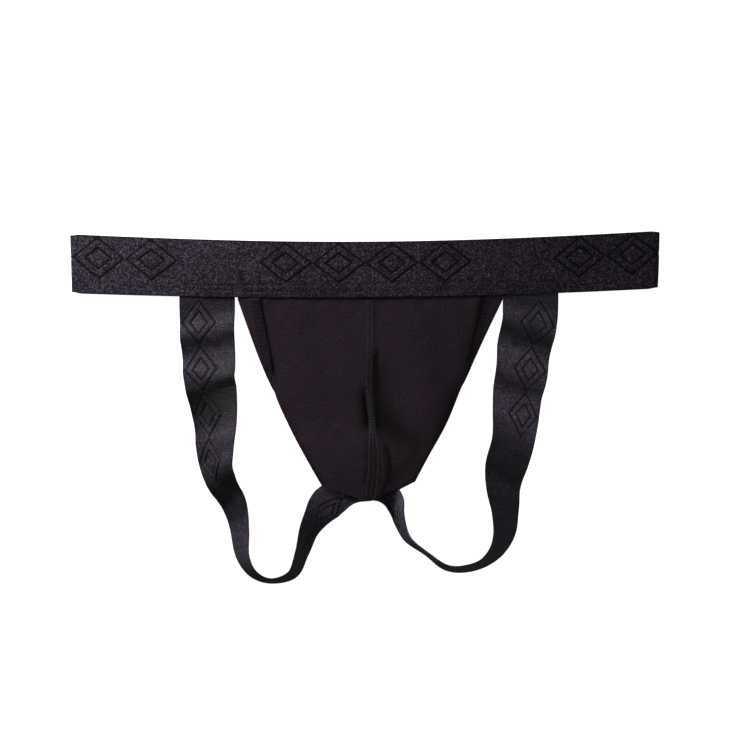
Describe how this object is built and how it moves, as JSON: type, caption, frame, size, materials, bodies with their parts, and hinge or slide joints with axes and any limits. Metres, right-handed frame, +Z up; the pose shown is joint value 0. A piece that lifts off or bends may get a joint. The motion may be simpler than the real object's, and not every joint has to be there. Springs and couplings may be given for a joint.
{
  "type": "groin protector",
  "caption": "Athletic supporter: wide elastic waistband, soft contoured two-layer pouch and elastic leg straps, lying flat with its front up.",
  "frame": {"origin": "centre of the bounding box, on the table that the supporter lies on", "axes": "+X along the waistband to the right of the front view, +Y from the pouch to the waistband, +Z up from the table, out of the front of the supporter"},
  "size_m": [0.3712, 0.2216, 0.035],
  "materials": {
    "waistband_elastic": "matt, fine crosswise ribs, raised geometric jacquard",
    "strap_elastic": "matt, fine crosswise ribs, raised geometric jacquard",
    "pouch_jersey": "matt fine-knit jersey with a soft sheen",
    "lining_mesh": "matt fine open knit",
    "hem_jersey": "matt fine-knit jersey, folded edge",
    "thread": "spun thread with a faint gloss",
    "label_satin": "woven satin, blank"
  },
  "bodies": {
    "waistband": {"waistband_elastic": "waistband_elastic", "waistband_join_stitching": "thread", "care_label": "label_satin", "pouch_seam_allowance": "pouch_jersey", "pouch_seam_stitching": "thread", "corner_bartack_left": "thread", "corner_bartack_right": "thread", "strap_sewn_end_left": "strap_elastic", "strap_sewn_end_right": "strap_elastic", "strap_stitching_left": "thread", "strap_stitching_right": "thread"},
    "pouch": {"pouch_panel_left": "pouch_jersey", "pouch_panel_right": "pouch_jersey", "pouch_lining_left": "lining_mesh", "pouch_lining_right": "lining_mesh", "centre_seam_stitching": "thread", "base_stitching": "thread", "leg_hem_left": "hem_jersey", "leg_hem_right": "hem_jersey", "leg_hem_stitching_left": "thread", "leg_hem_stitching_right": "thread", "strap_shoulder_left": "strap_elastic", "strap_shoulder_right": "strap_elastic", "strap_tail_left": "strap_elastic", "strap_tail_right": "strap_elastic"},
    "leg_loop_left": {"leg_strap_left": "strap_elastic"},
    "leg_loop_right": {"leg_strap_right": "strap_elastic"}
  },
  "joints": [
    {"name": "pouch_fold", "type": "hinge", "parent": "waistband", "child": "pouch", "pos_m": [0, 0.0688, 0.0103], "axis": [-1, 0, 0], "range_deg": [0, 110]},
    {"name": "leg_loop_left_swing", "type": "hinge", "parent": "pouch", "child": "leg_loop_left", "pos_m": [-0.1168, 0.062, 0.0175], "axis": [-0.6262, 0.7797, 0], "range_deg": [0, 75]},
    {"name": "leg_loop_right_swing", "type": "hinge", "parent": "pouch", "child": "leg_loop_right", "pos_m": [0.1224, 0.062, 0.0175], "axis": [-0.6438, -0.7652, 0], "range_deg": [0, 75]}
  ]
}
